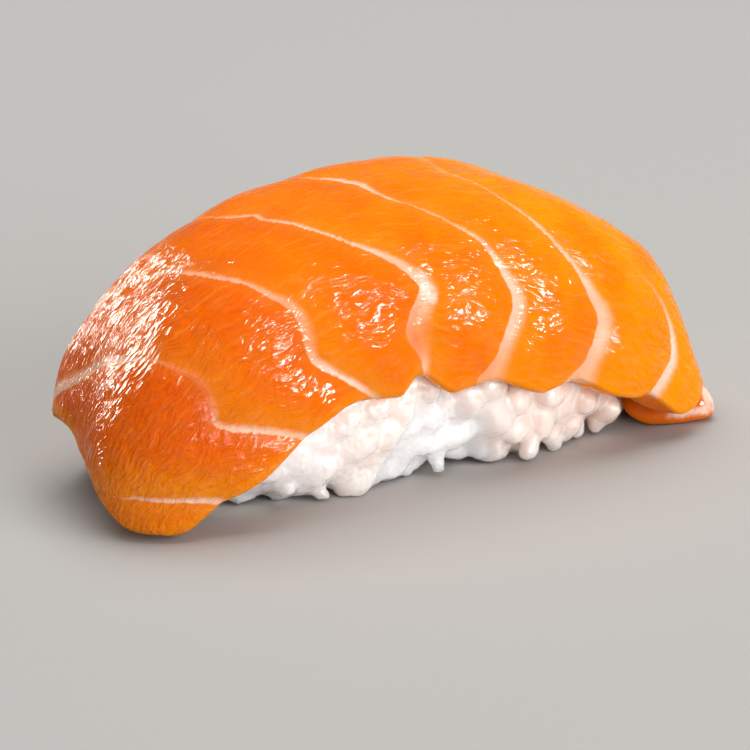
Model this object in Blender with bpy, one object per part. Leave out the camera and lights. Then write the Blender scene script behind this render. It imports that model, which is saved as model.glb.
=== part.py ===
"""Salmon nigiri: a thick slice of raw salmon draped over a pressed block of sushi rice.

Metres, +Z up. The block's flat bottom is centred on the origin and lies in the plane z = 0.
+X runs along the slice to its tucked-under tail, and -Y is the long side where the rice shows.
Both solids are built from level rings around the middle. A place on a ring is given by its
compass angle: 0 is +X (the tail), 90 is +Y (far side), 180 is -X (the raised lip), 270 is -Y.
"""
import math

import bpy
import numpy as np

MM = 0.001

# The dome that the slice's upper skin follows
HALF_LENGTH = 38.0 * MM
HALF_WIDTH = 16.8 * MM
CENTRE_Y = 0.8 * MM
CREST_HEIGHT = 31.3 * MM
CREST_SHIFT = -6.8 * MM                     # the crest sits left of the middle
CREST_SLOPES = (0.135, -0.24, 0.145)        # how the crest line rises and falls along the length
END_SKEW = (0.21, -0.05)                    # the raised lip and the tail are cut at a slant
PLAN_SQUARENESS = 3.4                       # 2 would be an ellipse seen from above
FLANK_SQUARENESS = (2.7, 3.2, 2.9, 3.1)     # tail, far side, raised lip, near side
REACH = (1.05, 1.02, 1.01, 1.02, 0.97, 0.94, 0.91, 0.96, 1.01, 1.02, 1.04, 1.07)   # every 30 degrees

# The slice
SLICE_THICKNESS = 4.8 * MM
LIP_ROUNDING = 0.85                         # 1 gives the cut edge a half-round section
LIP_CLEARANCE = 0.15 * MM                   # the lowest corners stop just short of the table
# Height of the slice's lowest edge around the compass: (angle, height in mm)
EDGE_HEIGHTS = (
    (0, 0.2), (25, 1.0), (42, 5.0), (60, 9.5), (85, 11.5), (108, 9.5), (124, 4.0), (134, 0.8),
    (146, 6.5), (160, 10.0), (175, 9.2), (190, 8.0), (204, 5.9), (216, 1.0), (230, 0.4), (237, 4.3),
    (244, 6.7), (252, 10.4), (262, 13.5), (268.5, 12.8), (273.5, 14.4), (278, 12.1), (284, 12.5),
    (293, 9.6), (298, 10.3), (304, 7.0), (309, 6.3), (314, 3.0), (324, 2.0), (340, 0.6),
)

# The block of rice
RICE_FOOT = (28.0 * MM, 9.6 * MM)           # half-length and half-width where it meets the table
RICE_BELLY = (30.0 * MM, 12.9 * MM)         # the same at its widest
RICE_BELLY_HEIGHT = 7.5 * MM
RICE_CENTRE = (1.0 * MM, 0.0 * MM)
RICE_SQUARENESS = 3.2
GAP = 0.35 * MM                             # between the rice and the slice
GRAIN_LENGTH = 5.5 * MM
GRAIN_RELIEF = 0.55 * MM                    # how far single grains stand out of the block's side

# Fineness of the faceted solids
SPOKES = 102
SKIN_RINGS = 15
LIP_RINGS = 4
RICE_SIDE_RINGS = 9
RICE_TOP_RINGS = 6


def around_the_compass(angles, knots, values):
    """Smooth closed curve through values at knots (degrees), by periodic Hermite pieces."""
    knots = np.asarray(knots, float)
    values = np.asarray(values, float)
    knots = np.concatenate([knots[-1:] - 360.0, knots, knots[:2] + 360.0])
    values = np.concatenate([values[-1:], values, values[:2]])
    slopes = np.zeros(len(knots))
    slopes[1:-1] = (values[2:] - values[:-2]) / (knots[2:] - knots[:-2])
    turning = (values[1:-1] - values[:-2]) * (values[2:] - values[1:-1]) <= 0.0
    slopes[1:-1][turning] = 0.0
    angles = np.mod(angles - knots[1], 360.0) + knots[1]
    piece = np.clip(np.searchsorted(knots, angles, side="right") - 1, 1, len(knots) - 3)
    span = knots[piece + 1] - knots[piece]
    t = (angles - knots[piece]) / span
    start = values[piece] * (1 + 2 * t) * (1 - t) ** 2 + values[piece + 1] * t * t * (3 - 2 * t)
    return start + span * (slopes[piece] * t * (1 - t) ** 2 - slopes[piece + 1] * t * t * (1 - t))


def four_ways(angles, tail, far, lip, near):
    """Blend four values that hold at 0, 90, 180 and 270 degrees."""
    c = np.cos(np.radians(angles))
    s = np.sin(np.radians(angles))
    along = np.where(c > 0, tail, lip) * c ** 2
    return along + np.where(s > 0, far, near) * s ** 2


def outline(angles, half_length, half_width, squareness):
    """Rounded-rectangle outline seen from above."""
    c = np.cos(np.radians(angles))
    s = np.sin(np.radians(angles))
    k = (np.abs(c) ** squareness + np.abs(s) ** squareness) ** (-1.0 / squareness)
    return half_length * c * k, half_width * s * k


def dome(angles, slope, inset=0.0):
    """Point on the dome at a compass angle; slope runs from 0 at the foot to 1 at the crest."""
    reach = around_the_compass(angles, np.arange(0, 360, 30), REACH)
    squareness = four_ways(angles, *FLANK_SQUARENESS)
    out = np.cos(slope * math.pi / 2) ** (2 / squareness)
    up = np.sin(slope * math.pi / 2) ** (2 / squareness)
    x, y = outline(angles, HALF_LENGTH - inset, HALF_WIDTH - inset, PLAN_SQUARENESS)
    x = x * reach * out
    y = y * reach * out
    share = x / HALF_LENGTH
    crest = 1 + CREST_SLOPES[0] * share + CREST_SLOPES[1] * share ** 2 + CREST_SLOPES[2] * share ** 3
    tailward = (1 + np.tanh(1.5 * share)) / 2
    skew = END_SKEW[0] * (1 - tailward) + END_SKEW[1] * tailward
    z = (CREST_HEIGHT - inset) * crest * up
    return np.stack([x + CREST_SHIFT * up + skew * y, y + CENTRE_Y, z], axis=-1)


def slope_at_height(angles, heights, inset):
    """Slope value at which the dome, inset for thickness, has the given height."""
    low = np.zeros(len(angles))
    high = np.ones(len(angles))
    for _ in range(30):
        middle = (low + high) / 2
        below = dome(angles, middle, inset)[:, 2] < heights
        low = np.where(below, middle, low)
        high = np.where(below, high, middle)
    return (low + high) / 2


def lip_arc(outer, inner, down):
    """Rings that round the cut edge from the outer skin to the underside."""
    middle = (outer + inner) / 2
    half = outer - middle
    radius = np.linalg.norm(half, axis=1, keepdims=True) * LIP_ROUNDING
    rings = []
    for step in range(1, LIP_RINGS):
        turn = math.pi * step / LIP_RINGS
        rings.append(middle + half * math.cos(turn) + down * radius * math.sin(turn))
    return rings


def salmon_rings():
    """Rings of the slice from the crest, down the skin, round the lip and up the underside."""
    angles = np.arange(SPOKES) * 360.0 / SPOKES
    knots, heights = zip(*EDGE_HEIGHTS)
    lowest = around_the_compass(angles, knots, np.array(heights) * MM)
    lowest = np.maximum(lowest, LIP_CLEARANCE)
    edge = lowest + SLICE_THICKNESS / 2 * LIP_ROUNDING
    outer_edge = slope_at_height(angles, edge, 0.0)
    inner_edge = slope_at_height(angles, edge, SLICE_THICKNESS)
    down = dome(angles, outer_edge) - dome(angles, outer_edge + 0.03)
    down[:, :2] *= 0.5
    down /= np.linalg.norm(down, axis=1, keepdims=True)
    shares = np.linspace(0.0, 1.0, SKIN_RINGS + 1)[1:]
    skin = [dome(angles, 1 - share * (1 - outer_edge)) for share in shares]
    under = [dome(angles, 1 - share * (1 - inner_edge), SLICE_THICKNESS) for share in shares[::-1]]
    rings = skin + lip_arc(skin[-1], under[0], down) + under
    for ring in rings:
        ring[:, 2] = np.maximum(ring[:, 2], LIP_CLEARANCE)
    top = dome(np.zeros(1), np.ones(1))[0]
    bottom = dome(np.zeros(1), np.ones(1), SLICE_THICKNESS)[0]
    return top, rings, bottom


def grain_relief(x, y, height):
    """Gentle bumps the size of rice grains on the block's side."""
    turn = 2 * math.pi / GRAIN_LENGTH
    rows = np.sin(turn * (x + 0.5 * height)) * np.cos(0.8 * turn * height + 2.0 * np.sin(0.2 * turn * x))
    ends = np.sin(turn * (y - 0.4 * height) + 1.7)
    return GRAIN_RELIEF * (0.7 * rows + 0.3 * ends)


def rice_side(angles, height, slice_edge):
    """Ring of the block's side, which follows the slice's underside where the slice covers it."""
    swell = math.sin(min(height / RICE_BELLY_HEIGHT, 1.0) * math.pi / 2)
    half_length = RICE_FOOT[0] + (RICE_BELLY[0] - RICE_FOOT[0]) * swell
    half_width = RICE_FOOT[1] + (RICE_BELLY[1] - RICE_FOOT[1]) * swell
    x, y = outline(angles, half_length, half_width, RICE_SQUARENESS)
    relief = 1 + grain_relief(x, y, height) / np.hypot(x, y)
    bare = np.stack([x * relief + RICE_CENTRE[0], y * relief, np.full(len(angles), height)], axis=-1)
    inset = SLICE_THICKNESS + GAP
    covered = dome(angles, slope_at_height(angles, np.full(len(angles), height), inset), inset)
    cover = np.clip((height - slice_edge) / (2.0 * MM) + 1.6, 0.0, 1.0)[:, None]
    return bare + (covered - bare) * cover


def rice_rings():
    """Rings of the block from its top, down under the slice and down the open side."""
    angles = np.arange(SPOKES) * 360.0 / SPOKES
    knots, heights = zip(*EDGE_HEIGHTS)
    slice_edge = around_the_compass(angles, knots, np.array(heights) * MM)
    inset = SLICE_THICKNESS + GAP
    top_height = CREST_HEIGHT - inset
    shoulder = top_height * 0.62
    start = slope_at_height(angles, np.full(SPOKES, shoulder), inset)
    shares = np.linspace(0.0, 1.0, RICE_TOP_RINGS + 1)[1:]
    cap = [dome(angles, 1 - share * (1 - start), inset) for share in shares]
    levels = np.linspace(shoulder, 0.0, RICE_SIDE_RINGS + 1)[1:]
    sides = [rice_side(angles, level, slice_edge) for level in levels]
    top = dome(np.zeros(1), np.ones(1), inset)[0]
    bottom = np.array([RICE_CENTRE[0], RICE_CENTRE[1], 0.0])
    return top, cap + sides, bottom


def closed_solid(name, top, rings, bottom, material, collection):
    """One closed, outward-facing mesh object from a top point, rings and a bottom point."""
    vertices = [top] + [point for ring in rings for point in ring] + [bottom]
    count = len(rings[0])
    last = len(vertices) - 1
    faces = []
    for k in range(count):
        n = (k + 1) % count
        faces.append((0, 1 + k, 1 + n))
        for r in range(len(rings) - 1):
            upper = 1 + r * count
            lower = upper + count
            faces.append((upper + k, lower + k, lower + n, upper + n))
        foot = 1 + (len(rings) - 1) * count
        faces.append((foot + k, last, foot + n))
    mesh = bpy.data.meshes.new(name)
    mesh.from_pydata([tuple(float(c) for c in v) for v in vertices], [], faces)
    mesh.update()
    mesh.shade_smooth()
    mesh.materials.append(material)
    item = bpy.data.objects.new(name, mesh)
    collection.objects.link(item)
    return item


def plain_material(name, colour, roughness):
    material = bpy.data.materials.new(name)
    material.use_nodes = True
    shader = material.node_tree.nodes["Principled BSDF"]
    shader.inputs["Base Color"].default_value = (*colour, 1.0)
    shader.inputs["Roughness"].default_value = roughness
    shader.inputs["Metallic"].default_value = 0.0
    return material


def clear_scene():
    for item in list(bpy.data.objects):
        bpy.data.objects.remove(item, do_unlink=True)


def main():
    clear_scene()
    collection = bpy.data.collections.new("salmon_nigiri")
    bpy.context.scene.collection.children.link(collection)
    salmon = plain_material("raw_salmon", (0.86, 0.22, 0.03), 0.3)
    rice = plain_material("sushi_rice", (0.86, 0.82, 0.74), 0.4)
    closed_solid("salmon_slice", *salmon_rings(), salmon, collection)
    closed_solid("rice_block", *rice_rings(), rice, collection)


main()
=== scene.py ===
"""Looks for the salmon nigiri: the wet salmon slice, its fat lines and the sticky rice below it.

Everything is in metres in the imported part's frame: +Z up, +X towards the slice's tucked-under tail,
-Y towards the long side where the rice shows.
"""

import math

import bpy
import numpy as np
from mathutils import Matrix, Vector, noise


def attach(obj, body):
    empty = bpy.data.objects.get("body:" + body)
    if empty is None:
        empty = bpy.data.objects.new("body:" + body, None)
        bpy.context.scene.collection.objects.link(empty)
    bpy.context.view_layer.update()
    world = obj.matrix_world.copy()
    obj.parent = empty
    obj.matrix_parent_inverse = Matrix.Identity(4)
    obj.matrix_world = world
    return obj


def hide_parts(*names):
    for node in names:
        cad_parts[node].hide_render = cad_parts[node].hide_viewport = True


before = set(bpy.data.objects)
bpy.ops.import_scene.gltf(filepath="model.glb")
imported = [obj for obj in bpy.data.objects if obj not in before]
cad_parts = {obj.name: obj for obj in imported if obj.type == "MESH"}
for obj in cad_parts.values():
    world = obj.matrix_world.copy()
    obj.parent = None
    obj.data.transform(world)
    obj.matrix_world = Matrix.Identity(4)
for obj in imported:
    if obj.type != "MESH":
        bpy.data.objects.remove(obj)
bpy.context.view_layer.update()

MM = 0.001

# The dome that the slice's skin follows, with the same figures as the CAD solid
HALF_LENGTH = 38.0 * MM
HALF_WIDTH = 16.8 * MM
CENTRE_Y = 0.8 * MM
CREST_HEIGHT = 31.3 * MM
CREST_SHIFT = -6.8 * MM
CREST_SLOPES = (0.135, -0.24, 0.145)
END_SKEW = (0.21, -0.05)
PLAN_SQUARENESS = 3.4
FLANK_SQUARENESS = (2.7, 3.2, 2.9, 3.1)     # tail, far side, raised lip, near side
REACH = (1.05, 1.02, 1.01, 1.02, 0.97, 0.94, 0.91, 0.96, 1.01, 1.02, 1.04, 1.07)   # every 30 degrees

# The slice
SLICE_THICKNESS = 4.8 * MM
TABLE_GAP = 0.15 * MM
# Height of the slice's lowest edge around the compass: (angle, height in mm)
EDGE_HEIGHTS = (
    (0, 5.4), (12, 4.0), (25, 1.0), (42, 4.5), (60, 9.0), (85, 11.0), (108, 9.0), (124, 3.6), (134, 0.6),
    (146, 6.5), (153, 8.4), (158, 9.6), (175, 9.0), (190, 7.8), (204, 5.6), (216, 1.4), (224, 0.7),
    (230, 0.9), (237, 3.6), (244, 6.0), (252, 9.6), (262, 12.8), (268.5, 12.4), (273.5, 14.3), (278, 11.7),
    (285, 12.0), (292.5, 9.6), (298, 10.0), (302, 7.8), (305, 6.7), (307.6, 6.2), (309.4, 6.2),
    (311.2, 4.9), (313.2, 3.3), (316, 2.7), (320, 3.0), (327, 4.2), (340, 5.4),
)
# Radius of the edge's outer corner around the compass: (angle, radius in mm)
EDGE_ROUNDING = (
    (0, 1.3), (90, 1.0), (135, 0.9), (155, 0.5), (190, 0.6), (215, 1.2), (230, 1.3), (245, 0.6), (262, 0.6),
    (300, 0.6), (330, 0.9),
)
# The cut face from the outer corner in to the underside: (share of the thickness, rise in mm)
CUT_FACE = ((0.30, 0.1), (0.50, 0.4), (0.70, 1.0), (0.88, 2.0), (1.0, 3.4))
# Local hollows and swellings of the skin: (x, y, radius on the map, height in mm)
LUMPS = (
    (-0.62, 0.56, 0.17, -1.7), (-0.50, 0.62, 0.20, -0.5), (-0.27, 0.32, 0.12, -0.45),
    (-0.10, 0.32, 0.12, -0.35), (0.06, 0.31, 0.11, -0.30), (0.46, 0.11, 0.10, -0.30),
    (0.53, -0.07, 0.08, -0.30), (0.58, -0.25, 0.04, 0.20), (0.66, -0.36, 0.07, -0.40),
    (0.76, -0.41, 0.09, -0.85), (-0.75, -0.28, 0.14, -0.50),
)
# The notch before the tail, whose cut face is painted darker as shade: compass angle and half-width, in
# degrees
NOTCH = (316.0, 9.5)
# White knots and pink blushes on the fat: (x, y on the map, radius in mm)
FAT_KNOTS = ((0.090, -0.530, 1.0), (0.094, -0.555, 0.9))
BLUSHES = ((0.056, -0.64, 1.9), (-0.33, -0.50, 1.5))
# Spread of the fibre pattern: mm along and across the fibres for one map unit
FIBRE_SPAN = (38.0, 30.0)
# Relief of the skin in mm: on the crest, and what the near flank adds to it
SEGMENT_SWELL = (0.20, 0.45)
LINE_GROOVE = (0.05, 0.30)
# Unevenness of the skin: (height, spacing of the bumps, seed)
ROLLS = ((0.14 * MM, 9.0 * MM, 3), (0.035 * MM, 2.4 * MM, 5))
SKIN_GRID = (400, 170)                      # quads along and across the skin
UNDER_RINGS = 12

# Fat lines between the muscle segments, from the raised lip to the tail. Each point has its place
# in map coordinates (distance from the crest, 0, to the dome's foot, 1; +x to the tail, +y to the
# far side), the line's half-width in mm and how pale it is.
FAT_LINES = (
    ((-0.68, -0.46, 0.1, 0.0), (-0.65, -0.52, 0.14, 0.6), (-0.62, -0.56, 0.2, 0.8),
     (-0.58, -0.63, 0.28, 0.95), (-0.54, -0.68, 0.36, 1.0), (-0.48, -0.75, 0.42, 1.0)),
    ((-0.6, 0.66, 0.45, 0.45), (-0.61, 0.42, 0.7, 0.7), (-0.58, 0.24, 0.8, 0.8), (-0.56, 0.07, 0.75, 0.85),
     (-0.49, -0.11, 0.65, 0.8), (-0.4, -0.25, 0.35, 0.7), (-0.36, -0.32, 0.28, 0.4),
     (-0.335, -0.41, 0.4, 0.28), (-0.325, -0.48, 0.6, 0.28), (-0.34, -0.55, 0.5, 0.45),
     (-0.357, -0.59, 0.4, 0.85), (-0.335, -0.635, 0.5, 1.0), (-0.295, -0.685, 0.5, 1.0),
     (-0.23, -0.76, 0.42, 0.9)),
    ((-0.46, 0.74, 0.3, 0.35), (-0.4, 0.36, 0.3, 0.35), (-0.35, 0.11, 0.4, 0.45), (-0.335, 0.03, 0.45, 0.6),
     (-0.29, -0.085, 0.45, 0.65), (-0.23, -0.185, 0.4, 0.7), (-0.19, -0.31, 0.36, 0.7),
     (-0.165, -0.41, 0.45, 0.7), (-0.147, -0.46, 0.64, 0.6), (-0.14, -0.51, 0.8, 0.55),
     (-0.146, -0.56, 0.8, 0.5), (-0.152, -0.605, 0.52, 0.85), (-0.135, -0.64, 0.46, 1.0),
     (-0.105, -0.685, 0.42, 1.0), (-0.06, -0.745, 0.36, 0.8)),
    ((-0.26, 0.74, 0.28, 0.35), (-0.2, 0.4, 0.18, 0.2), (-0.16, 0.18, 0.24, 0.35),
     (-0.14, 0.04, 0.32, 0.65), (-0.085, -0.11, 0.35, 0.75), (-0.05, -0.26, 0.32, 0.75),
     (-0.01, -0.36, 0.3, 0.7), (0.04, -0.435, 0.42, 0.8), (0.074, -0.49, 0.68, 0.85),
     (0.09, -0.525, 1.05, 0.9), (0.082, -0.56, 1.25, 0.85), (0.06, -0.6, 1.5, 0.65),
     (0.052, -0.63, 1.6, 0.5), (0.058, -0.67, 0.85, 0.55), (0.057, -0.7, 0.5, 0.7),
     (0.045, -0.76, 0.5, 0.7)),
    ((-0.1, 0.7, 0.25, 0.35), (0.02, 0.22, 0.16, 0.4), (0.055, 0.09, 0.32, 0.75), (0.083, 0.0, 0.5, 0.9),
     (0.083, -0.09, 0.42, 0.88), (0.098, -0.18, 0.26, 0.75), (0.118, -0.24, 0.16, 0.55),
     (0.165, -0.35, 0.22, 0.65), (0.2, -0.41, 0.32, 0.8), (0.222, -0.48, 0.5, 0.9),
     (0.24, -0.53, 0.75, 0.95), (0.247, -0.565, 0.98, 1.0), (0.242, -0.6, 1.05, 0.95),
     (0.228, -0.645, 0.95, 0.85), (0.208, -0.7, 1.05, 0.65), (0.185, -0.745, 2.0, 0.6)),
    ((0.17, 0.68, 0.35, 0.3), (0.26, 0.1, 0.6, 0.2), (0.265, 0.0, 0.5, 0.3), (0.255, -0.1, 0.26, 0.45),
     (0.255, -0.24, 0.2, 0.5), (0.28, -0.325, 0.25, 0.65), (0.315, -0.4, 0.32, 0.75),
     (0.35, -0.465, 0.42, 0.88), (0.38, -0.52, 0.75, 0.95), (0.4, -0.55, 1.05, 1.0),
     (0.406, -0.585, 1.25, 1.0), (0.402, -0.63, 1.2, 1.0), (0.395, -0.67, 1.2, 0.85),
     (0.383, -0.705, 1.7, 0.75), (0.36, -0.75, 2.2, 0.7)),
    ((0.35, 0.68, 0.3, 0.25), (0.43, 0.0, 0.12, 0.0), (0.455, -0.39, 0.14, 0.05), (0.49, -0.413, 0.16, 0.2),
     (0.53, -0.43, 0.22, 0.35), (0.565, -0.465, 0.36, 0.7), (0.59, -0.515, 0.6, 0.95),
     (0.6, -0.56, 0.75, 1.0), (0.592, -0.6, 0.82, 1.0), (0.572, -0.66, 0.86, 0.95),
     (0.54, -0.75, 0.85, 0.9)),
)

# The tucked-under tail: its outer face's course on the table, in mm, from its cut end round to the far side
TAIL_COURSE = ((27.6, -6.8), (29.4, -8.9), (31.8, -10.2), (34.6, -11.0), (37.4, -11.4), (39.2, -10.6),
               (39.8, -8.0), (39.8, -4.0), (39.5, 0.0), (38.4, 4.5), (36.0, 8.5))
TAIL_THICKNESS = 3.8 * MM
TAIL_HEIGHT = 6.6 * MM
TAIL_LIFT = 2.2 * MM                        # how far its cut end stands off the table
TAIL_SQUARENESS = 0.6                       # of its section: 1 is an ellipse, towards 0 is a rectangle
TAIL_END = 0.07                             # share of its length over which each end is rounded
TAIL_SEGMENT = 7.5                          # its place in the count of muscle segments


def around_the_compass(angles, knots, values):
    """Smooth closed curve through values at knots (degrees), by periodic Hermite pieces."""
    knots = np.asarray(knots, float)
    values = np.asarray(values, float)
    knots = np.concatenate([knots[-1:] - 360.0, knots, knots[:2] + 360.0])
    values = np.concatenate([values[-1:], values, values[:2]])
    slopes = np.zeros(len(knots))
    slopes[1:-1] = (values[2:] - values[:-2]) / (knots[2:] - knots[:-2])
    turning = (values[1:-1] - values[:-2]) * (values[2:] - values[1:-1]) <= 0.0
    slopes[1:-1][turning] = 0.0
    angles = np.mod(angles - knots[1], 360.0) + knots[1]
    piece = np.clip(np.searchsorted(knots, angles, side="right") - 1, 1, len(knots) - 3)
    span = knots[piece + 1] - knots[piece]
    t = (angles - knots[piece]) / span
    start = values[piece] * (1 + 2 * t) * (1 - t) ** 2 + values[piece + 1] * t * t * (3 - 2 * t)
    return start + span * (slopes[piece] * t * (1 - t) ** 2 - slopes[piece + 1] * t * t * (1 - t))


def four_ways(angles, tail, far, lip, near):
    """Blend four values that hold at 0, 90, 180 and 270 degrees."""
    c = np.cos(np.radians(angles))
    s = np.sin(np.radians(angles))
    along = np.where(c > 0, tail, lip) * c ** 2
    return along + np.where(s > 0, far, near) * s ** 2


def smooth_step(low, high, value):
    """Ease from 0 to 1 as the value goes from low to high."""
    t = np.clip((value - low) / (high - low), 0.0, 1.0)
    return t * t * (3 - 2 * t)


def outline(angles, half_length, half_width, squareness):
    """Rounded-rectangle outline seen from above."""
    c = np.cos(np.radians(angles))
    s = np.sin(np.radians(angles))
    k = (np.abs(c) ** squareness + np.abs(s) ** squareness) ** (-1.0 / squareness)
    return half_length * c * k, half_width * s * k


def dome(angles, slope, inset=0.0):
    """Point on the dome at a compass angle; slope runs from 0 at the foot to 1 at the crest."""
    reach = around_the_compass(angles, np.arange(0, 360, 30), REACH)
    n = four_ways(angles, *FLANK_SQUARENESS)
    c = np.clip(np.cos(slope * math.pi / 2), 0, 1)
    s = np.clip(np.sin(slope * math.pi / 2), 0, 1)
    k = (c ** n + s ** n) ** (-1.0 / n)
    out = c * k
    up = s * k
    x, y = outline(angles, HALF_LENGTH - inset, HALF_WIDTH - inset, PLAN_SQUARENESS)
    x = x * reach * out
    y = y * reach * out
    share = x / HALF_LENGTH
    crest = 1 + CREST_SLOPES[0] * share + CREST_SLOPES[1] * share ** 2 + CREST_SLOPES[2] * share ** 3
    tailward = (1 + np.tanh(1.5 * share)) / 2
    skew = END_SKEW[0] * (1 - tailward) + END_SKEW[1] * tailward
    z = (CREST_HEIGHT - inset) * crest * up
    return np.stack([x + CREST_SHIFT * up + skew * y, y + CENTRE_Y, z], axis=-1)


def dome_at(u, v, inset=0.0):
    """Point on the dome at map coordinates."""
    return dome(np.degrees(np.arctan2(v, u)), 1 - np.hypot(u, v), inset)


def dome_normal(u, v):
    """Outward unit normal of the dome at map coordinates."""
    step = 0.004
    along = dome_at(u + step, v) - dome_at(u - step, v)
    across = dome_at(u, v + step) - dome_at(u, v - step)
    normal = np.cross(along, across)
    return normal / np.linalg.norm(normal, axis=-1, keepdims=True)


def slope_at_height(angles, heights, inset=0.0):
    """Slope value at which the dome, inset for thickness, has the given height."""
    low = np.zeros(len(angles))
    high = np.ones(len(angles))
    for _ in range(30):
        middle = (low + high) / 2
        below = dome(angles, middle, inset)[:, 2] < heights
        low = np.where(below, middle, low)
        high = np.where(below, high, middle)
    return (low + high) / 2


def edge_height(angles):
    """Height of the slice's lowest edge."""
    knots, heights = zip(*EDGE_HEIGHTS)
    return np.maximum(around_the_compass(angles, knots, np.array(heights) * MM), TABLE_GAP)


def smooth_curve(points, count):
    """Evenly spread points on a smooth curve through the given ones."""
    points = np.asarray(points, float)
    padded = np.vstack([2 * points[0] - points[1], points, 2 * points[-1] - points[-2]])
    t = np.linspace(0, len(points) - 1, count * 4)
    k = np.clip(t.astype(int), 0, len(points) - 2)
    f = (t - k)[:, None]
    a, b, c, d = padded[k], padded[k + 1], padded[k + 2], padded[k + 3]
    curve = 0.5 * (2 * b + (c - a) * f + (2 * a - 5 * b + 4 * c - d) * f ** 2
                   + (3 * b - a - 3 * c + d) * f ** 3)
    run = np.concatenate([[0], np.cumsum(np.linalg.norm(np.diff(curve, axis=0), axis=1))])
    even = np.linspace(0, run[-1], count)
    return np.stack([np.interp(even, run, curve[:, i]) for i in range(points.shape[1])], axis=1)


def fat_line_fields(u, v, points):
    """For each fat line and surface point: signed distance, half-width and paleness."""
    fields = []
    for line in FAT_LINES:
        course = smooth_curve(line, 200)
        places = dome_at(course[:, 0], course[:, 1])
        direction = np.gradient(course, axis=0)
        near = np.empty(len(points), int)
        gap = np.empty(len(points))
        for start in range(0, len(points), 8000):
            part = slice(start, start + 8000)
            gaps = np.linalg.norm(points[part, None, :] - places[None, :, :], axis=2)
            near[part] = gaps.argmin(axis=1)
            gap[part] = gaps.min(axis=1)
        side = direction[near, 0] * (v - course[near, 1]) - direction[near, 1] * (u - course[near, 0])
        fields.append((gap * np.sign(side), course[near, 2] * MM, course[near, 3]))
    return np.array(fields).transpose(1, 0, 2)


def segment_fields(u, v, points):
    """Muscle segment number (whole numbers lie on fat lines), line spacing, half-width and paleness."""
    distances, halves, pales = fat_line_fields(u, v, points)
    count = len(FAT_LINES)
    index = (distances > 0).sum(axis=0)
    rows = np.arange(len(points))
    before = np.clip(index - 1, 0, count - 1)
    after = np.clip(index, 0, count - 1)
    far_out = 12 * MM
    gap_before = np.where(index > 0, np.abs(distances[before, rows]), far_out)
    gap_after = np.where(index < count, np.abs(distances[after, rows]), far_out)
    spacing = gap_before + gap_after
    share = gap_before / spacing
    segment = index + share
    nearest = np.where(gap_before < gap_after, before, after)
    return segment, spacing, halves[nearest, rows], pales[nearest, rows]


def spots(points, places):
    """Soft round spots on the skin: 1 at each place, falling off over its radius."""
    total = np.zeros(len(points))
    for x, y, radius in places:
        centre = dome_at(np.array([x]), np.array([y]))
        gap = np.linalg.norm(points - centre, axis=1) / (radius * MM)
        total = np.maximum(total, np.exp(-gap ** 2))
    return total


def grid_on_disc(along, across):
    """Square grid mapped smoothly onto a disc: compass angle and share of the way to the rim."""
    a, b = np.meshgrid(np.linspace(-1, 1, along + 1), np.linspace(-1, 1, across + 1), indexing="ij")
    du = a * np.sqrt(1 - b ** 2 / 2)
    dv = b * np.sqrt(1 - a ** 2 / 2)
    return np.degrees(np.arctan2(dv, du)).ravel(), np.hypot(du, dv).ravel()


def rolling(points, size, seed):
    """Smooth unevenness in -1 to 1, with bumps of about the given size."""
    rng = np.random.default_rng(seed)
    total = np.zeros(len(points))
    for _ in range(9):
        direction = rng.normal(size=3)
        direction /= np.linalg.norm(direction)
        phase = rng.uniform(0, 2 * math.pi)
        pitch = size * rng.uniform(0.75, 1.5)
        total += np.sin(points @ direction * 2 * math.pi / pitch + phase)
    return total / 4.5


def relief(points, u, v, segment, spacing, half):
    """How far the skin stands off the dome: grooves at the fat lines, swelling between them, lumps."""
    low = smooth_step(-0.35, -0.72, v)
    offset = np.abs(segment - np.round(segment)) * spacing
    groove = np.exp(-(offset / (0.6 * MM + half)) ** 2)
    swell = 1 - np.exp(-(offset / (3.0 * MM)) ** 2)
    height = (SEGMENT_SWELL[0] + SEGMENT_SWELL[1] * low) * MM * swell
    height -= (LINE_GROOVE[0] + LINE_GROOVE[1] * low) * MM * groove
    for rise, spread, seed in ROLLS:
        height += rise * rolling(points, spread, seed)
    fibres = np.stack([u * FIBRE_SPAN[0] * 0.3, v * FIBRE_SPAN[1], points[:, 2] / MM * 0.2], axis=-1)
    height += 0.03 * MM * rolling(fibres, 1.1, 9)
    for x, y, radius, rise in LUMPS:
        height += rise * MM * np.exp(-((u - x) ** 2 + (v - y) ** 2) / radius ** 2)
    return height


def rounded_edge(gap, radius):
    """How far the skin turns in where it nears its edge."""
    short = np.clip(radius - gap, 0.0, radius)
    return radius - np.sqrt(radius ** 2 - short ** 2)


def perimeter(along, across):
    """Indices of the grid's border vertices, counter-clockwise from the near-left corner."""
    index = np.arange((along + 1) * (across + 1)).reshape(along + 1, across + 1)
    return np.concatenate([index[:-1, 0], index[-1, :-1], index[:0:-1, -1], index[0, :0:-1]])


def cut_face_rings(angles, border, edge):
    """Rings from the skin's border in along the cut face to the underside."""
    start = dome(angles, slope_at_height(angles, edge))
    drift = border - start
    rings = []
    for share, rise in CUT_FACE:
        inset = SLICE_THICKNESS * share
        ring = dome(angles, slope_at_height(angles, edge + rise * MM, inset), inset)
        rings.append(ring + drift * (1 - share) ** 2 * 0.5)
    return rings


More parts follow.
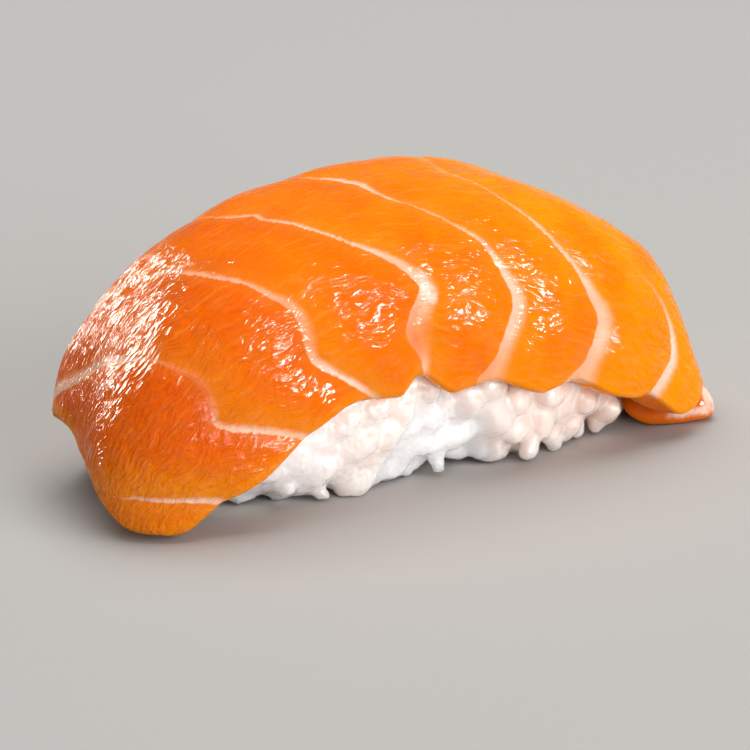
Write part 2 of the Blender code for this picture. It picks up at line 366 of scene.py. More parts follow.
def closed_slice(skin, border, rings):
    """Vertices and faces of the skin, the rings below its border and a last point in the middle."""
    along, across = SKIN_GRID
    bottom = dome(np.zeros(1), np.ones(1), SLICE_THICKNESS)
    vertices = np.vstack([skin] + rings + [bottom])
    index = np.arange(len(skin)).reshape(along + 1, across + 1)
    quads = np.stack([index[:-1, :-1], index[1:, :-1], index[1:, 1:], index[:-1, 1:]], axis=-1)
    faces = quads.reshape(-1, 4).tolist()
    count = len(border)
    upper = border
    for k in range(len(rings)):
        lower = len(skin) + k * count + np.arange(count)
        strip = np.stack([np.roll(upper, -1), upper, lower, np.roll(lower, -1)], axis=-1)
        faces += strip.tolist()
        upper = lower
    last = len(vertices) - 1
    faces += np.stack([np.roll(upper, -1), upper, np.full(count, last)], axis=-1).tolist()
    return vertices, faces


def make_slice():
    """The salmon slice as one closed mesh with its segment and edge fields as attributes."""
    along, across = SKIN_GRID
    angles, share = grid_on_disc(along, across)
    edge = edge_height(angles)
    outer_edge = slope_at_height(angles, edge)
    rho = share * (1 - outer_edge)
    u = rho * np.cos(np.radians(angles))
    v = rho * np.sin(np.radians(angles))
    points = dome_at(u, v)
    edge_gap = np.linalg.norm(points - dome(angles, outer_edge), axis=1)
    segment, spacing, half, pale = segment_fields(u, v, points)
    knots, radii = zip(*EDGE_ROUNDING)
    radius = around_the_compass(angles, knots, np.array(radii) * MM)
    height = relief(points, u, v, segment, spacing, half) - rounded_edge(edge_gap, radius)
    skin = points + dome_normal(u, v) * height[:, None]
    skin[:, 2] = np.maximum(skin[:, 2], TABLE_GAP)

    border = perimeter(along, across)
    border_angles = angles[border]
    rings = cut_face_rings(border_angles, skin[border], edge[border])
    inner_edge = slope_at_height(border_angles, edge[border] + CUT_FACE[-1][1] * MM, SLICE_THICKNESS)
    shares = np.linspace(1.0, 0.0, UNDER_RINGS + 1)[1:-1]
    rings += [dome(border_angles, 1 - s * (1 - inner_edge), SLICE_THICKNESS) for s in shares]
    for ring in rings:
        ring[:, 2] = np.maximum(ring[:, 2], TABLE_GAP)
    vertices, faces = closed_slice(skin, border, rings)

    inner = np.concatenate([np.tile(border, len(rings)), [border[0]]])
    low = smooth_step(-0.1, -0.8, v)
    edge_rows = np.concatenate([border, len(skin) + np.arange(len(inner))])
    in_notch = np.exp(-((angles[np.concatenate([border, inner])] % 360 - NOTCH[0]) / NOTCH[1]) ** 2)
    fields = {"segment": segment, "spacing_mm": spacing / MM, "fat_mm": half / MM, "pale": pale, "low": low,
              "edge_mm": edge_gap / MM, "along_mm": u * FIBRE_SPAN[0], "across_mm": v * FIBRE_SPAN[1],
              "fat_knot_and_painted_glint": spots(points, FAT_KNOTS), "blush": spots(points, BLUSHES)}
    fields = {name: np.concatenate([values, values[inner]]) for name, values in fields.items()}
    # Painted shade: in the notch the fat's paleness is taken out and the edge rows marked tucked, so its
    # cut face is painted darker, as it lies in shade
    fields["pale"][edge_rows] *= 1 - in_notch
    fields["tucked"] = np.zeros(len(vertices))
    fields["tucked"][edge_rows] = in_notch
    return mesh_object("salmon_slice_skin", vertices, faces, fields)


def tail_fat_and_painted_highlight(vertices):
    """Paleness of the tail: the fat at its far right corner, and a painted highlight low on its near face
    that stands in for a wet glint.
    """
    x, y, z = vertices.T
    corner = smooth_step(1.9 * MM, 2.5 * MM, z) * smooth_step(36.6 * MM, 37.8 * MM, x)
    # painted highlight: a pale streak low on the near face in place of the wet glint there
    film = np.exp(-((z - 1.5 * MM) / (0.8 * MM)) ** 2) * smooth_step(31 * MM, 34 * MM, x)
    return np.maximum(corner, 0.75 * film * smooth_step(-5 * MM, -8 * MM, y))


def make_tail():
    """The slice's end, tucked under the last lobe and resting on the table."""
    course = smooth_curve(TAIL_COURSE, 90) * MM
    direction = np.gradient(course, axis=0)
    direction /= np.linalg.norm(direction, axis=1, keepdims=True)
    outward = np.stack([direction[:, 1], -direction[:, 0]], axis=1)
    around = np.linspace(0, 2 * math.pi, 40, endpoint=False)
    across = np.sign(np.cos(around)) * np.abs(np.cos(around)) ** TAIL_SQUARENESS
    upward = np.sign(np.sin(around)) * np.abs(np.sin(around)) ** TAIL_SQUARENESS
    rings = []
    for k, share in enumerate(np.linspace(0, 1, len(course))):
        end = min(share / TAIL_END, (1 - share) / TAIL_END, 1.0)
        fullness = math.sqrt(max(1 - (1 - end) ** 2, 0.0)) * 0.96 + 0.04
        low = TABLE_GAP + TAIL_LIFT * (1 - min(share / 0.16, 1.0)) ** 1.5
        middle = (low + TAIL_HEIGHT) / 2
        height = middle + upward * fullness * (TAIL_HEIGHT - low) / 2
        out = (across * fullness - 1) * TAIL_THICKNESS / 2 - 0.1 * height ** 2 / MM
        ring = np.empty((len(around), 3))
        ring[:, :2] = course[k] + outward[k] * out[:, None]
        ring[:, 2] = height
        rings.append(ring)
    vertices = np.vstack(rings)
    vertices += 0.10 * MM * rolling(vertices, 3.0 * MM, 8)[:, None] * np.array([1, 1, 0.3])
    vertices[:, 2] = np.maximum(vertices[:, 2], TABLE_GAP)
    count = len(around)
    faces = [tuple(range(count - 1, -1, -1)), tuple(range(len(vertices) - count, len(vertices)))]
    for r in range(len(rings) - 1):
        for k in range(count):
            n = (k + 1) % count
            faces.append((r * count + k, r * count + n, (r + 1) * count + n, (r + 1) * count + k))
    run = np.repeat(np.linspace(0, 28, len(course)), count)
    blank = np.zeros(len(vertices))
    # tucked at 1 paints the whole tail darker: painted shade under the last lobe
    fields = {"segment": blank + TAIL_SEGMENT, "spacing_mm": blank + 7.0, "fat_mm": blank, "pale": blank,
              "low": blank, "edge_mm": blank + 2.0, "along_mm": run, "across_mm": vertices[:, 2] / MM,
              "fat_knot_and_painted_glint": tail_fat_and_painted_highlight(vertices), "blush": blank, "tucked": blank + 1.0}
    return mesh_object("salmon_slice_tail", vertices, faces, fields)


def mesh_object(name, vertices, faces, fields=None):
    """Smooth-shaded mesh in the scene, with its fields as point attributes."""
    mesh = bpy.data.meshes.new(name)
    mesh.from_pydata(vertices.tolist(), [], faces)
    mesh.update()
    mesh.shade_smooth()
    for field, values in (fields or {}).items():
        layer = mesh.attributes.new(field, "FLOAT", "POINT")
        layer.data.foreach_set("value", np.asarray(values, np.float32))
    item = bpy.data.objects.new(name, mesh)
    bpy.context.scene.collection.objects.link(item)
    return item


# The rice under the slice
RICE_FOOT = (28.0 * MM, 9.6 * MM)           # half length and half width at the table
RICE_BELLY = (30.0 * MM, 12.9 * MM)         # and at the widest height
RICE_BELLY_HEIGHT = 7.5 * MM
RICE_CENTRE_X = 1.0 * MM
RICE_SQUARENESS = 3.2
CORE_INSET = 1.1 * MM
CORE_TUCK = 3.0 * MM                        # further in at the table, so that only grains show there
CORE_TUCK_HEIGHT = 4.0 * MM
CORE_HEIGHTS = (0.8 * MM, 24.0 * MM)        # of its lowest and highest outline
RICE_VOXEL = 0.274 * MM
CRISP_PASSES = 5                            # smoothing passes that leave the grains crisp
PRESSED_PASSES = 46                         # and that press them into one mass
# How much of the grains' relief is left after pressing: towards the raised lip, and towards the tail
GRAIN_RELIEF = (0.06, 0.85)
LIP_BULGE = 1.3 * MM                        # how far the rice swells out to meet the slice's lip
RICE_GAP = 0.05 * MM                        # between the rice and the table
# Grains on the open near side: (x, y, z, tilt in degrees, length, width), in mm
NEAR_GRAINS = (
    (-16.7, -9.1, 2.5, -12, 4.0, 2.2), (-12.9, -9.5, 4.1, 30, 6.2, 4.6), (-11.8, -9.2, 1.0, -25, 3.0, 2.0),
    (-7.0, -9.1, 1.7, 10, 6.4, 4.0), (-1.8, -8.9, 2.0, 25, 5.2, 3.6), (-8.3, -10.5, 6.8, 30, 7.0, 4.6),
    (-4.0, -11.0, 6.9, -10, 5.2, 3.6), (-5.9, -11.9, 10.7, 12, 4.6, 3.0), (-10.4, -11.3, 9.5, 38, 5.2, 3.6),
    (-15.5, -10.1, 5.9, 38, 4.8, 3.6), (1.7, -10.9, 8.0, 40, 5.6, 4.8), (-0.5, -10.1, 3.8, 0, 3.4, 2.8),
    (5.1, -10.4, 4.7, 20, 4.8, 3.6), (3.2, -10.4, 1.8, -72, 3.6, 2.0), (1.1, -10.5, 4.6, -30, 4.6, 3.4),
    (9.4, -10.4, 6.7, -60, 6.2, 5.0), (10.9, -8.6, 1.5, -12, 5.8, 3.2), (5.5, -11.3, 8.9, 80, 4.8, 4.0),
    (6.8, -10.5, 5.0, 50, 4.0, 3.2), (12.6, -10.2, 4.1, 20, 3.6, 3.1), (14.3, -10.4, 1.8, 70, 3.6, 2.7),
    (15.8, -10.4, 5.2, 86, 5.6, 3.3), (12.2, -11.3, 8.2, 60, 4.4, 3.4), (20.4, -8.8, 2.8, 78, 5.2, 3.4),
    (18.6, -9.3, 1.1, 20, 3.2, 2.4), (17.9, -9.2, 2.5, 70, 3.4, 2.6), (21.7, -9.9, 5.9, 10, 4.4, 3.2),
    (26.2, -7.2, 3.0, -5, 6.2, 3.8), (25.2, -7.3, 1.4, 5, 4.0, 2.2), (22.4, -8.0, 1.6, 60, 3.0, 2.2),
    (29.6, -5.0, 2.1, -25, 3.4, 2.4), (-4.5, -9.2, 1.9, 18, 6.4, 3.6), (-2.1, -11.4, 9.2, 60, 4.6, 3.6),
    (-1.7, -11.2, 7.1, 10, 4.0, 3.2), (1.4, -11.8, 11.4, 10, 4.4, 3.2), (8.6, -11.8, 10.4, -10, 4.6, 3.2),
    (16.6, -11.2, 8.0, 0, 4.8, 3.2),
)
GRAIN_LENGTHS = (4.4, 5.8)
GRAIN_WIDTHS = (2.7, 3.3)
GRAIN_SPACING = 2.6 * MM
PLACED_SPACING = 2.7 * MM                   # least distance from a scattered grain to one that is set out
SCATTER_TRIES = 5000
SCATTER_HEIGHTS = (1.3, 15.5)               # in mm
SCATTER_DEPTH = 1.45 * MM                   # of a scattered grain's centre below the heap's outline


def rice_outline(angles, height):
    """Outline of the rice heap at a height above the table."""
    swell = math.sin(min(height / RICE_BELLY_HEIGHT, 1.0) * math.pi / 2)
    half_length = RICE_FOOT[0] + (RICE_BELLY[0] - RICE_FOOT[0]) * swell
    half_width = RICE_FOOT[1] + (RICE_BELLY[1] - RICE_FOOT[1]) * swell
    x, y = outline(angles, half_length, half_width, RICE_SQUARENESS)
    return np.stack([x + RICE_CENTRE_X, y, np.full(len(angles), height)], axis=-1)


def under_the_slice(points, angles, gap):
    """Points moved in so that they stay below the slice's underside."""
    inset = SLICE_THICKNESS + gap
    limit = dome(angles, slope_at_height(angles, points[:, 2], inset), inset)
    centre = np.array([RICE_CENTRE_X, 0.0])
    reach = np.linalg.norm(points[:, :2] - centre, axis=1)
    room = np.linalg.norm(limit[:, :2] - centre, axis=1)
    scale = np.minimum(1.0, room / reach)[:, None]
    inside = points.copy()
    inside[:, :2] = centre + (points[:, :2] - centre) * scale
    return inside


def core_mesh():
    """Vertices and faces of the plain heap that the grains sit on."""
    count = 96
    angles = np.arange(count) * 360.0 / count
    rings = []
    for height in np.linspace(*CORE_HEIGHTS, 16):
        ring = rice_outline(angles, height)
        centre = np.array([RICE_CENTRE_X, 0.0])
        reach = np.linalg.norm(ring[:, :2] - centre, axis=1, keepdims=True)
        tuck = CORE_INSET + CORE_TUCK * max(1 - height / CORE_TUCK_HEIGHT, 0.0)
        ring[:, :2] = centre + (ring[:, :2] - centre) * (1 - tuck / reach)
        rings.append(under_the_slice(ring, angles, 0.6 * MM))
    foot = [RICE_CENTRE_X, 0, CORE_HEIGHTS[0]]
    peak = [RICE_CENTRE_X - 5 * MM, 0, CORE_HEIGHTS[1] + 0.3 * MM]
    vertices = np.vstack(rings + [[foot, peak]])
    faces = []
    for r in range(len(rings) - 1):
        for k in range(count):
            n = (k + 1) % count
            faces.append((r * count + k, r * count + n, (r + 1) * count + n, (r + 1) * count + k))
    top = (len(rings) - 1) * count
    low = len(vertices) - 2
    for k in range(count):
        n = (k + 1) % count
        faces.append((n, k, low))
        faces.append((top + k, top + n, low + 1))
    return vertices, faces


def grain_frame(outward, tilt, lean):
    """Grain axes: long axis in the heap's surface, tilted from level, then leaning outwards."""
    level = Vector((-outward.y, outward.x, 0)).normalized()
    if abs(outward.y) > 0.3 and level.x < 0:
        level = -level
    upward = outward.cross(level)
    if upward.z < 0:
        upward = -upward
    long_axis = level * math.cos(tilt) + upward * math.sin(tilt)
    long_axis = (long_axis + outward * lean).normalized()
    side = outward.cross(long_axis).normalized()
    return long_axis, side, long_axis.cross(side)


def grain_mesh(grain, rng):
    """Vertices and faces of one plump, slightly bent grain."""
    centre, axes, length, width = grain
    stations = np.linspace(-1, 1, 13)[1:-1]
    around = np.linspace(0, 2 * math.pi, 14, endpoint=False)
    bend = rng.uniform(-0.10, 0.10) * length
    blunt = rng.uniform(2.2, 3.0)
    lean = rng.uniform(-0.15, 0.15)
    points = [(-0.5 * length, 0, 0)]
    for t in stations:
        radius = width / 2 * (1 - abs(t) ** blunt) ** 0.5 * (1 + lean * t)
        for turn in around:
            sideways = radius * math.cos(turn) + bend * t * t
            points.append((t * length / 2, sideways, radius * 0.86 * math.sin(turn)))
    points.append((0.5 * length, 0, 0))
    points = np.array(points)
    points[:, 1] -= bend / 3
    basis = np.array([list(a) for a in axes])
    vertices = points @ basis + np.array(centre)
    faces = []
    ring = len(around)
    for k in range(ring):
        n = (k + 1) % ring
        faces.append((0, 1 + n, 1 + k))
        for s in range(len(stations) - 1):
            a = 1 + s * ring
            faces.append((a + k, a + n, a + ring + n, a + ring + k))
        last = 1 + (len(stations) - 1) * ring
        faces.append((last + k, last + n, len(vertices) - 1))
    return vertices, faces


def rice_grains():
    """Every grain's centre, axes, length and width: the near side as set out, the rest scattered."""
    rng = np.random.default_rng(11)
    grains = []
    for x, y, z, tilt, length, width in NEAR_GRAINS:
        outward = Vector(((x - 1.0) * abs(x - 1.0) ** 1.2 / 900.0, y / 22.0, 0)).normalized()
        axes = grain_frame(outward, math.radians(tilt), rng.uniform(-0.12, 0.12))
        grains.append((Vector((x, y, z)) * MM, axes, length * MM, width * MM))
    placed = len(grains)
    for _ in range(SCATTER_TRIES):
        angle = rng.uniform(0, 360)
        height = rng.uniform(*SCATTER_HEIGHTS) * MM
        lip = float(edge_height(np.array([angle]))[0])
        if height > lip + 4.5 * MM:
            continue
        spot = rice_outline(np.array([angle]), height)
        spot = under_the_slice(spot, np.array([angle]), 0.3 * MM)[0]
        outward = Vector((spot[0] - RICE_CENTRE_X, spot[1] * 5.0, 0)).normalized()
        deeper = SCATTER_DEPTH if angle < 185 else SCATTER_DEPTH + 1.0 * MM
        centre = Vector(spot) - outward * deeper
        gaps = [(other[0] - centre).length for other in grains]
        if min(gaps[:placed]) < PLACED_SPACING or min(gaps) < GRAIN_SPACING:
            continue
        tilt = rng.normal(0, 0.7)
        axes = grain_frame(outward, tilt, rng.normal(0, 0.15))
        length = rng.uniform(*GRAIN_LENGTHS) * MM
        width = rng.uniform(*GRAIN_WIDTHS) * MM
        grains.append((centre, axes, length, width))
    return grains


def nearest_grains(points, grains):
    """For each point: its grain's number, and how close it is to the crease beside the next grain."""
    best = np.full(len(points), 9.0)
    second = np.full(len(points), 9.0)
    owner = np.zeros(len(points), int)
    for number, (centre, axes, length, width) in enumerate(grains):
        local = (points - np.array(centre)) @ np.array([list(a) for a in axes]).T
        reach = np.sqrt((local[:, 0] / (length / 2)) ** 2 + (local[:, 1] / (width / 2)) ** 2
                        + (local[:, 2] / (width / 2)) ** 2)
        closer = reach < best
        second = np.where(closer, best, np.minimum(second, reach))
        owner = np.where(closer, number, owner)
        best = np.minimum(best, reach)
    return owner, second - best


def smoothed(item, modifier, iterations):
    """Vertices, normals and faces of an object with its smooth modifier at a number of iterations."""
    modifier.iterations = iterations
    graph = bpy.context.evaluated_depsgraph_get()
    shown = item.evaluated_get(graph)
    mesh = shown.to_mesh()
    points = np.empty(len(mesh.vertices) * 3)
    normals = np.empty(len(mesh.vertices) * 3)
    mesh.vertices.foreach_get("co", points)
    mesh.vertices.foreach_get("normal", normals)
    polygons = [tuple(p.vertices) for p in mesh.polygons]
    shown.to_mesh_clear()
    return points.reshape(-1, 3), normals.reshape(-1, 3), polygons


def crystals(points, size):
    """Unevenness in 0 to 1 like packed small crystals of about the given size."""
    return np.array([min(noise.voronoi(Vector(p))[0][0], 1.0) for p in points / size])


def fused_heap(grains, rng):
    """Core and grains fused into one surface: its points when crisp and when pressed, normals and faces."""
    vertices, faces = core_mesh()
    all_vertices = [vertices]
    all_faces = list(faces)
    total = len(vertices)
    for grain in grains:
        points, quads = grain_mesh(grain, rng)
        all_vertices.append(points)
        all_faces += [tuple(i + total for i in face) for face in quads]
        total += len(points)
    heap = mesh_object("rice_parts", np.vstack(all_vertices), all_faces)
    remesh = heap.modifiers.new("fuse", "REMESH")
    remesh.mode = "VOXEL"
    remesh.voxel_size = RICE_VOXEL
    soften = heap.modifiers.new("soften", "SMOOTH")
    soften.factor = 0.5
    crisp, normals, polygons = smoothed(heap, soften, CRISP_PASSES)
    pressed, normals, polygons = smoothed(heap, soften, PRESSED_PASSES)
    bpy.data.objects.remove(heap, do_unlink=True)
    return crisp, pressed, normals, polygons


def rice_roughness(points):
    """Relief of the rice: soft unevenness everywhere, and crumbs on the open side near the raised lip."""
    crumbly = smooth_step(9 * MM, 1 * MM, points[:, 0]) * smooth_step(0.0, -4 * MM, points[:, 1])
    rise = 0.10 * MM * rolling(points, 2.2 * MM, 21)
    rise += (0.05 + 0.22 * crumbly) * MM * (0.45 - crystals(points, 1.1 * MM))
    rise += (0.06 + 0.16 * crumbly) * MM * (0.45 - crystals(points, 0.65 * MM))
    return rise


def make_rice():
    """The sticky heap: grains pressed onto a core and fused, with creases left between them."""
    grains = rice_grains()
    rng = np.random.default_rng(5)
    crisp, pressed, normals, polygons = fused_heap(grains, rng)
    tailward = smooth_step(2 * MM, 16 * MM, pressed[:, 0])
    kept = GRAIN_RELIEF[0] + (GRAIN_RELIEF[1] - GRAIN_RELIEF[0]) * tailward
    points = pressed + (crisp - pressed) * kept[:, None]
    points += normals * rice_roughness(points)[:, None]
    owner, gap = nearest_grains(points, grains)
    tone = rng.uniform(0, 1, len(grains))[owner]
    angles = np.degrees(np.arctan2(points[:, 1], points[:, 0] - RICE_CENTRE_X))
    above = points[:, 2] - edge_height(angles)
    near_side = smooth_step(-5 * MM, -9 * MM, points[:, 1])
    points[:, 1] -= LIP_BULGE * near_side * smooth_step(-5 * MM, -1 * MM, above)
    points[:, 2] = np.maximum(points[:, 2], RICE_GAP)
    fields = {"tone": tone, "crease": np.clip(gap, 0, 1), "to_lip_mm": above / MM}
    return mesh_object("sushi_rice_grains", points, polygons, fields)


class Nodes:
    """Short-hand for building one material's node tree."""

    def __init__(self, name):
        self.material = bpy.data.materials.new(name)
        self.material.use_nodes = True
        self.tree = self.material.node_tree
        self.shader = self.tree.nodes["Principled BSDF"]

    def add(self, kind, inputs, **settings):
        node = self.tree.nodes.new(kind)
        for key, value in settings.items():
            setattr(node, key, value)
        for key, value in inputs.items():
            self.put(node.inputs[key], value)
        return node

    def put(self, socket, value):
        if isinstance(value, bpy.types.NodeSocket):
            self.tree.links.new(value, socket)
        else:
            socket.default_value = value

    def field(self, name):
        return self.add("ShaderNodeAttribute", {}, attribute_name=name).outputs["Fac"]

    def place(self):
        return self.add("ShaderNodeTexCoord", {}).outputs["Object"]

    def math(self, operation, a, b=0.0):
        return self.add("ShaderNodeMath", {0: a, 1: b}, operation=operation).outputs[0]

    def ease(self, value, low, high, start=0.0, end=1.0):
        inputs = {"Value": value, "From Min": low, "From Max": high, "To Min": start, "To Max": end}
        return self.add("ShaderNodeMapRange", inputs, interpolation_type="SMOOTHSTEP").outputs["Result"]

    def mix(self, share, a, b):
        node = self.add("ShaderNodeMix", {}, data_type="RGBA")
        self.put(node.inputs[0], share)
        self.put(node.inputs[6], a)
        self.put(node.inputs[7], b)
        return node.outputs[2]

    def vector(self, x, y, z):
        return self.add("ShaderNodeCombineXYZ", {"X": x, "Y": y, "Z": z}).outputs[0]

    def split(self, vector):
        return self.add("ShaderNodeSeparateXYZ", {"Vector": vector}).outputs

    def noise(self, vector, scale, detail=2.0, roughness=0.5):
        inputs = {"Vector": vector, "Scale": scale, "Detail": detail, "Roughness": roughness}
        return self.add("ShaderNodeTexNoise", inputs).outputs["Fac"]

    def stretched_noise(self, along, across, stretch, detail, roughness):
        """Noise drawn out into streaks along the fibres."""
        along = self.math("MULTIPLY", along, stretch[0])
        across = self.math("MULTIPLY", across, stretch[1])
        return self.noise(self.vector(along, across, 0.0), 1.0, detail, roughness)

    def bump(self, height, distance, strength, normal=None):
        inputs = {"Height": height, "Distance": distance, "Strength": strength}
        if normal is not None:
            inputs["Normal"] = normal
        return self.add("ShaderNodeBump", inputs).outputs["Normal"]

    def finish(self, **inputs):
        for key, value in inputs.items():
            self.put(self.shader.inputs[key.replace("_", " ")], value)
        return self.material


def colour(red, green, blue):
    """Display red, green and blue, 0 to 255, as a linear colour."""
    def linear(value):
        value /= 255.0
        return value / 12.92 if value <= 0.04045 else ((value + 0.055) / 1.055) ** 2.4
    return (linear(red), linear(green), linear(blue), 1.0)


def fat_share(n, wobble):
    """How far a point is fat, 1 on a fat line and softer on its tail side, and its distance to the line."""
    segment = n.field("segment")
    half = n.field("fat_mm")
    from_line = n.math("SUBTRACT", segment, n.math("ROUND", segment))
    off_line = n.math("MULTIPLY", n.math("ABSOLUTE", from_line), n.field("spacing_mm"))
    tail_side = n.ease(from_line, -0.01, 0.01)
    softness = n.math("ADD", 0.12, n.math("MULTIPLY", n.math("MULTIPLY", half, tail_side), 0.6))
    to_fat = n.math("ADD", n.math("SUBTRACT", n.math("MULTIPLY", half, 0.8), off_line), wobble)
    fat = n.ease(n.math("DIVIDE", to_fat, softness), -1.0, 1.0)
    fat = n.math("MULTIPLY", fat, n.math("POWER", n.field("pale"), 1.5))
    return fat, off_line


def flesh_colour(n, place, mottle, fibres, off_line):
    """Orange of the flesh: redder at the raised lip, yellower at the tail and low on each segment; with
    painted light near the thin cut edge and low at the raised lip's end, and painted shade on the tucked
    tail and in the notch.
    """
    x = n.split(place)["X"]
    z = n.split(place)["Z"]
    share = n.math("FRACT", n.field("segment"))
    flesh = n.mix(n.ease(x, -0.034, -0.010), colour(230, 98, 10), colour(250, 118, 6))
    flesh = n.mix(n.ease(x, -0.010, 0.030), flesh, colour(254, 142, 4))
    flesh = n.mix(n.math("MULTIPLY", n.ease(mottle, 0.38, 0.68), 0.35), flesh, colour(230, 88, 6))
    yellow = n.math("MULTIPLY", n.field("low"), n.ease(share, 0.50, 0.10, 0.0, 0.6))
    flesh = n.mix(yellow, flesh, colour(254, 150, 12))
    deep = n.math("MULTIPLY", n.ease(x, 0.002, -0.014), n.ease(share, 0.45, 0.90, 0.0, 0.45))
    flesh = n.mix(deep, flesh, colour(224, 84, 6))
    # Painted light: lighter and yellower low at the raised lip's end, lifting the shade there
    foot = n.math("MULTIPLY", n.ease(z, 0.012, 0.004), n.ease(x, -0.012, -0.022))
    flesh = n.mix(n.math("MULTIPLY", foot, 0.55), flesh, colour(248, 142, 14))
    # Painted light: yellower within about 2 mm of the cut edge, the glow of light through the thin edge
    flesh = n.mix(n.ease(n.field("edge_mm"), 2.2, 0.2, 0.0, 0.6), flesh, colour(255, 148, 14))
    flesh = n.mix(n.math("MULTIPLY", n.ease(fibres, 0.52, 0.72), 0.20), flesh, colour(255, 176, 70))
    flesh = n.mix(n.math("MULTIPLY", n.ease(off_line, 2.4, 0.2), 0.15), flesh, colour(255, 156, 60))
    # Painted shade: the tucked tail and the notch's cut face darker, as they lie in shade under the last
    # lobe
    return n.mix(n.math("MULTIPLY", n.field("tucked"), 0.85), flesh, colour(226, 104, 18))


def wet_film(n, place, streaks):
    """Normal of the wet film over the fibres: strong at the raised lip, smooth low on the near flank."""
    x = n.split(place)["X"]
    at_lip = n.ease(x, -0.016, -0.030, 0.0, 1.1)
    strength = n.math("ADD", n.ease(n.field("low"), 0.0, 0.5, 0.35, 0.85), at_lip)
    low_down = n.ease(n.field("edge_mm"), 8.5, 4.5)
    smooth_foot = n.math("MULTIPLY", low_down, n.ease(x, -0.020, -0.012, 0.0, 0.85))
    strength = n.math("MULTIPLY", strength, n.math("SUBTRACT", 1.0, smooth_foot))
    film = n.bump(streaks, 0.30 * MM, strength)
    return n.bump(n.noise(place, 1500.0, 2.0), 0.03 * MM, 0.6, film)


def salmon_material():
    """Wet raw salmon: orange flesh, pale fat lines, fibres that run from line to line."""
    n = Nodes("raw_salmon_looks")
    place = n.place()
    warp = n.math("MULTIPLY", n.math("SUBTRACT", n.noise(place, 260.0, 2.0), 0.5), 2.0)
    along = n.field("along_mm")
    across = n.math("ADD", n.field("across_mm"), warp)
    wobble = n.math("MULTIPLY", n.math("SUBTRACT", n.noise(place, 900.0, 3.0), 0.5), 0.5)
    fibres = n.stretched_noise(along, across, (0.30, 1.7), 3.0, 0.6)
    streaks = n.stretched_noise(along, across, (0.75, 2.6), 2.0, 0.55)
    mottle = n.noise(place, 160.0, 3.0)

    fat, off_line = fat_share(n, wobble)
    flesh = flesh_colour(n, place, mottle, fibres, off_line)
    fat_colour = n.mix(n.ease(mottle, 0.3, 0.7), colour(255, 220, 198), colour(255, 194, 160))
    fat_colour = n.mix(n.math("MULTIPLY", n.field("blush"), 0.7), fat_colour, colour(240, 122, 92))
    skin = n.mix(n.math("MULTIPLY", fat, 0.95), flesh, fat_colour)
    # White fat knots and the tail's fat corner, and on the tail also a painted highlight of its wet glint
    fat_knot_and_painted_glint = n.math("ADD", n.field("fat_knot_and_painted_glint"), n.math("MULTIPLY", wobble, 2.5))
    skin = n.mix(n.ease(fat_knot_and_painted_glint, 0.3, 0.9, 0.0, 0.85), skin, colour(255, 222, 204))

    film = wet_film(n, place, streaks)
    relief = n.bump(n.noise(place, 2400.0, 2.0), 0.10 * MM, 0.7, film)
    wet = n.ease(streaks, 0.42, 0.57, 0.06, 1.0)
    roughness = n.ease(n.noise(place, 420.0, 2.0), 0.3, 0.7, 0.26, 0.40)
    return n.finish(Base_Color=skin, Roughness=roughness, Normal=relief, IOR=1.42, Specular_IOR_Level=0.0,
                    Subsurface_Weight=0.35, Subsurface_Radius=(1.0, 0.35, 0.12), Subsurface_Scale=2.2 * MM,
                    Coat_Weight=wet, Coat_Roughness=0.06, Coat_IOR=1.42, Coat_Normal=film)


def rice_material():
    """Cooked short-grain rice: moist, milky and a little see-through, peach towards the tail, with a
    painted warm glow beside the salmon's lip and painted light in the creases between grains.
    """
    n = Nodes("sushi_rice_looks")
    place = n.place()
    white = n.mix(n.field("tone"), colour(252, 247, 249), colour(247, 237, 238))
    white = n.mix(n.ease(n.noise(place, 500.0, 3.0), 0.4, 0.7, 0.0, 0.6), white, colour(254, 254, 255))
    white = n.mix(n.ease(n.noise(place, 2200.0, 3.0), 0.45, 0.70, 0.0, 0.4), white, colour(236, 226, 226))
    x = n.split(place)["X"]
    # Painted light: a peach glow on the rice beside the salmon's lip, in place of warm light from the
    # salmon
    painted_glow_beside_lip = n.ease(n.field("to_lip_mm"), -6.0, 0.0, 0.0, 0.8)
    white = n.mix(n.math("MULTIPLY", painted_glow_beside_lip, n.ease(x, -0.024, 0.0)), white, colour(255, 220, 207))
    white = n.mix(n.ease(x, 0.010, 0.028, 0.0, 0.8), white, colour(255, 213, 195))
    # Painted light: whiter in the creases between grains, lifting the shade there
    white = n.mix(n.ease(n.field("crease"), 0.20, 0.0, 0.0, 0.6), white, colour(255, 254, 254))
    relief = n.bump(n.noise(place, 1100.0, 3.0), 0.16 * MM, 0.5)
    sparkle = n.bump(n.noise(place, 2600.0, 2.0), 0.14 * MM, 0.8, relief)
    roughness = n.ease(n.noise(place, 800.0, 2.0), 0.3, 0.7, 0.25, 0.5)
    return n.finish(Base_Color=white, Roughness=roughness, Normal=relief, IOR=1.40, Subsurface_Weight=0.9,
                    Subsurface_Radius=(1.0, 0.93, 0.89), Subsurface_Scale=5.0 * MM, Coat_Weight=1.0,
                    Coat_Roughness=0.07, Coat_IOR=1.42, Coat_Normal=sparkle)


def floor_material():
    """Matt pale grey."""
    n = Nodes("pale_floor")
    return n.finish(Base_Color=colour(178, 176, 173), Roughness=0.6, Specular_IOR_Level=0.0)


def make_floor():
    """Plain pale floor under the piece."""
    half = 3.0                              # in metres, past the picture on every side
    corners = np.array([(-half, -half, 0), (half, -half, 0), (half, half, 0), (-half, half, 0)])
    floor = mesh_object("floor", corners, [(0, 1, 2, 3)])
    floor.data.materials.append(floor_material())


LIGHT_TARGET_HEIGHT = 12 * MM


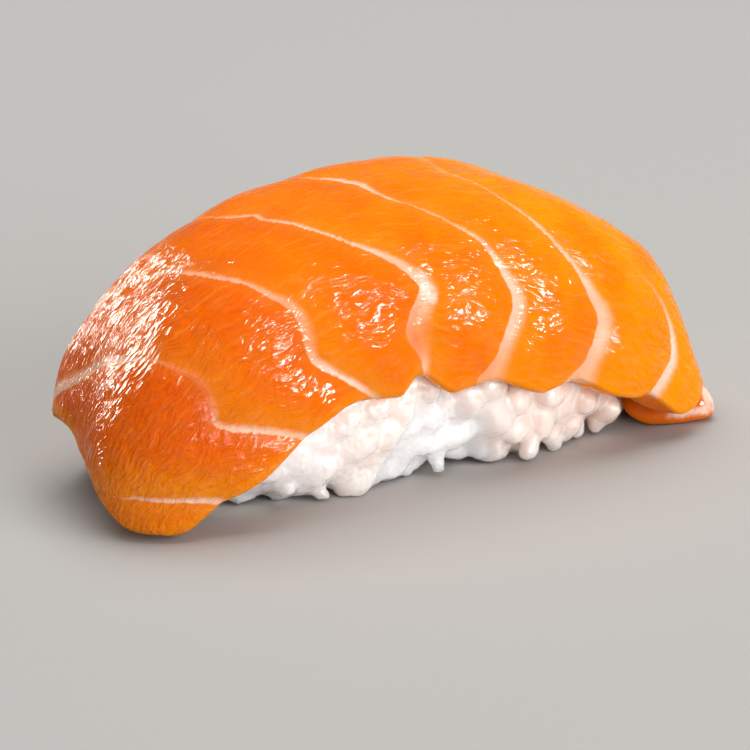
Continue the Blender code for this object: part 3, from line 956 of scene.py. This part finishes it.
def area_light(name, direction, distance, size, power, tint, shades, only=None):
    """Softbox that faces the piece from a direction.

    It either shades the pieces or puts highlights on them, on all of them or on only one.
    """
    lamp = bpy.data.lights.new(name, "AREA")
    lamp.shape = "RECTANGLE"
    lamp.size, lamp.size_y = size
    lamp.energy = power
    lamp.color = tint
    item = bpy.data.objects.new(name, lamp)
    toward = Vector(direction).normalized()
    item.location = toward * distance + Vector((0, 0, LIGHT_TARGET_HEIGHT))
    item.rotation_euler = toward.to_track_quat("Z", "Y").to_euler()
    item.visible_diffuse = shades
    item.visible_glossy = not shades
    if only is not None:
        item.light_linking.receiver_collection = bpy.data.collections.new(name)
        item.light_linking.receiver_collection.objects.link(only)
    bpy.context.scene.collection.objects.link(item)


def make_lights(rice_piece):
    """Two large softboxes for the shading, small ones for the wet highlights, and a dim room."""
    white = (1.0, 1.0, 1.0)
    warm = (1.0, 0.93, 0.80)
    area_light("top_softbox", (0.05, 0.20, 1.0), 0.70, (0.80, 0.80), 6.2, white, shades=True)
    area_light("front_softbox", (0.22, -0.91, 0.32), 0.90, (1.10, 0.70), 8.2, white, shades=True)
    area_light("back_left_gloss", (-0.14, 0.96, 0.20), 0.55, (0.24, 0.13), 4.6, warm, shades=False)
    area_light("front_right_gloss", (0.46, -0.84, 0.28), 0.55, (0.19, 0.05), 2.7, warm, shades=False)
    area_light("rice_fill", (0.35, -0.90, 0.22), 0.80, (0.60, 0.30), 1.5, white, shades=True,
               only=rice_piece)
    area_light("rice_gloss", (-0.05, -0.95, 0.30), 0.60, (0.50, 0.26), 3.0, white, shades=False,
               only=rice_piece)
    world = bpy.data.worlds.new("soft_room")
    world.use_nodes = True
    background = world.node_tree.nodes["Background"]
    background.inputs["Color"].default_value = (1.0, 0.99, 0.97, 1.0)
    background.inputs["Strength"].default_value = 0.16
    bpy.context.scene.world = world


CAMERA_TURN = math.radians(31.0)            # round from the near long side, towards the raised lip
CAMERA_RISE = math.radians(20.0)
CAMERA_DISTANCE = 2.0
FRAME_WIDTH = 82.5 * MM                     # what the picture's width takes in at the piece
FRAME_CENTRE = (1.25 * MM, 8.65 * MM)       # of the picture, right and up from the part's origin


def make_camera():
    """Long lens from the near left, twenty degrees above the table."""
    turn = CAMERA_TURN
    rise = CAMERA_RISE
    backward = Vector((-math.sin(turn) * math.cos(rise), -math.cos(turn) * math.cos(rise), math.sin(rise)))
    right = Vector((math.cos(turn), -math.sin(turn), 0))
    up = backward.cross(right)
    lens = bpy.data.cameras.new("camera")
    lens.sensor_width = 36.0
    lens.lens = lens.sensor_width * CAMERA_DISTANCE / FRAME_WIDTH
    camera = bpy.data.objects.new("camera", lens)
    camera.matrix_world = Matrix((right, up, backward)).transposed().to_4x4()
    camera.location = right * FRAME_CENTRE[0] + up * FRAME_CENTRE[1] + backward * CAMERA_DISTANCE
    bpy.context.scene.collection.objects.link(camera)
    bpy.context.scene.camera = camera


def main():
    salmon = salmon_material()
    rice = rice_material()
    rice_piece = make_rice()
    for piece, material, node, slot in (
        (make_slice(), salmon, "salmon_slice", "raw_salmon"),
        (make_tail(), salmon, "salmon_slice", "raw_salmon"),
        (rice_piece, rice, "rice_block", "sushi_rice"),
    ):
        piece.data.materials.append(material)
        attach(piece, "root")
        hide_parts(node)
    make_floor()
    make_lights(rice_piece)
    make_camera()
    bpy.context.scene.view_settings.view_transform = "Standard"


main()
